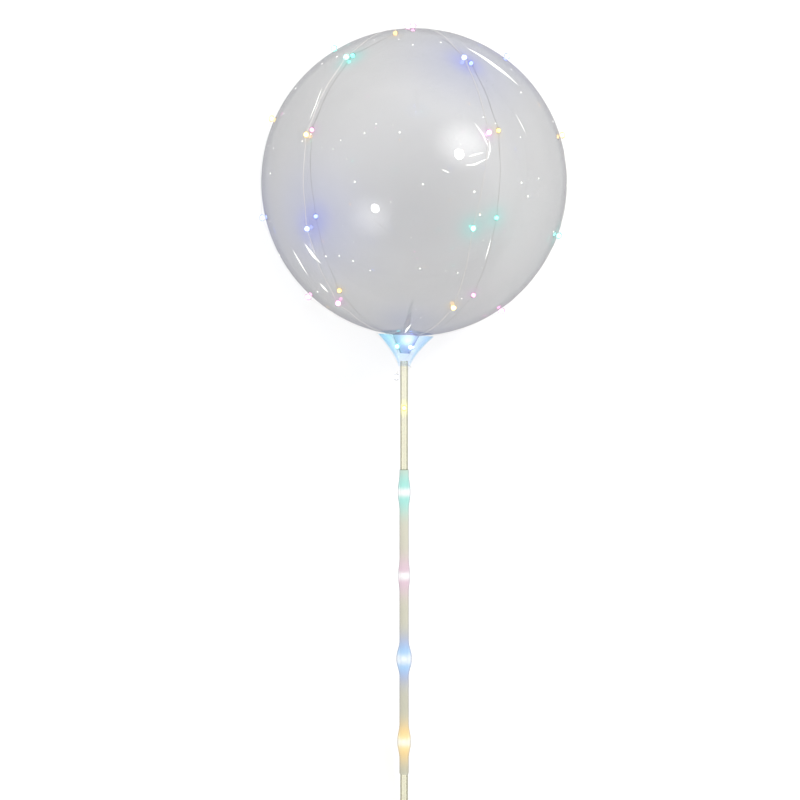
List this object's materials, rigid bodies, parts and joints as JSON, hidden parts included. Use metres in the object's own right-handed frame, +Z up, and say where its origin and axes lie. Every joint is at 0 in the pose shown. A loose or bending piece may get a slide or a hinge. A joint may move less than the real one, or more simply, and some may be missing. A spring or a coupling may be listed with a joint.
{
  "type": "clear bubble balloon",
  "caption": "Clear bubble balloon in a cup on a hollow stick, wound with a string of small coloured lights, lying on its side.",
  "frame": {"origin": "on the resting surface, under the middle of the part's bounding box", "axes": "+Z up; +Y along the stick towards the balloon, seen from above; +X to the right when the balloon is at the far end"},
  "size_m": [0.3614, 0.9814, 0.3583],
  "materials": {
    "balloon_film": "clear stretched film, glossy",
    "cup": "clear moulded plastic lit blue by the lights in it",
    "stick": "clear tube, faintly cream",
    "sleeve": "milky translucent tube",
    "wire": "fine lacquered copper wire",
    "lamp_yellow": "clear resin drop, lit warm yellow",
    "lamp_blue": "clear resin drop, lit blue",
    "lamp_pink": "clear resin drop, lit pink",
    "lamp_teal": "clear resin drop, lit teal"
  },
  "bodies": {
    "root": {"balloon": "balloon_film", "cup": "cup", "stick": "stick", "sleeve": "sleeve", "wire": "wire", "lamp_01": "lamp_yellow", "lamp_02": "lamp_blue", "lamp_03": "lamp_pink", "lamp_04": "lamp_teal", "lamp_05": "lamp_yellow", "lamp_06": "lamp_blue", "lamp_07": "lamp_pink", "lamp_08": "lamp_teal", "lamp_09": "lamp_yellow", "lamp_10": "lamp_blue", "lamp_11": "lamp_pink", "lamp_12": "lamp_teal", "lamp_13": "lamp_yellow", "lamp_14": "lamp_blue", "lamp_15": "lamp_pink", "lamp_16": "lamp_teal", "lamp_17": "lamp_yellow", "lamp_18": "lamp_blue", "lamp_19": "lamp_pink", "lamp_20": "lamp_teal", "lamp_21": "lamp_yellow", "lamp_22": "lamp_blue", "lamp_23": "lamp_pink", "lamp_24": "lamp_teal", "lamp_25": "lamp_yellow", "lamp_26": "lamp_blue", "lamp_27": "lamp_pink", "lamp_28": "lamp_teal", "lamp_29": "lamp_yellow", "lamp_30": "lamp_blue", "lamp_31": "lamp_pink", "lamp_32": "lamp_teal", "lamp_33": "lamp_yellow", "lamp_34": "lamp_blue", "lamp_35": "lamp_pink", "lamp_36": "lamp_teal"}
  },
  "joints": []
}
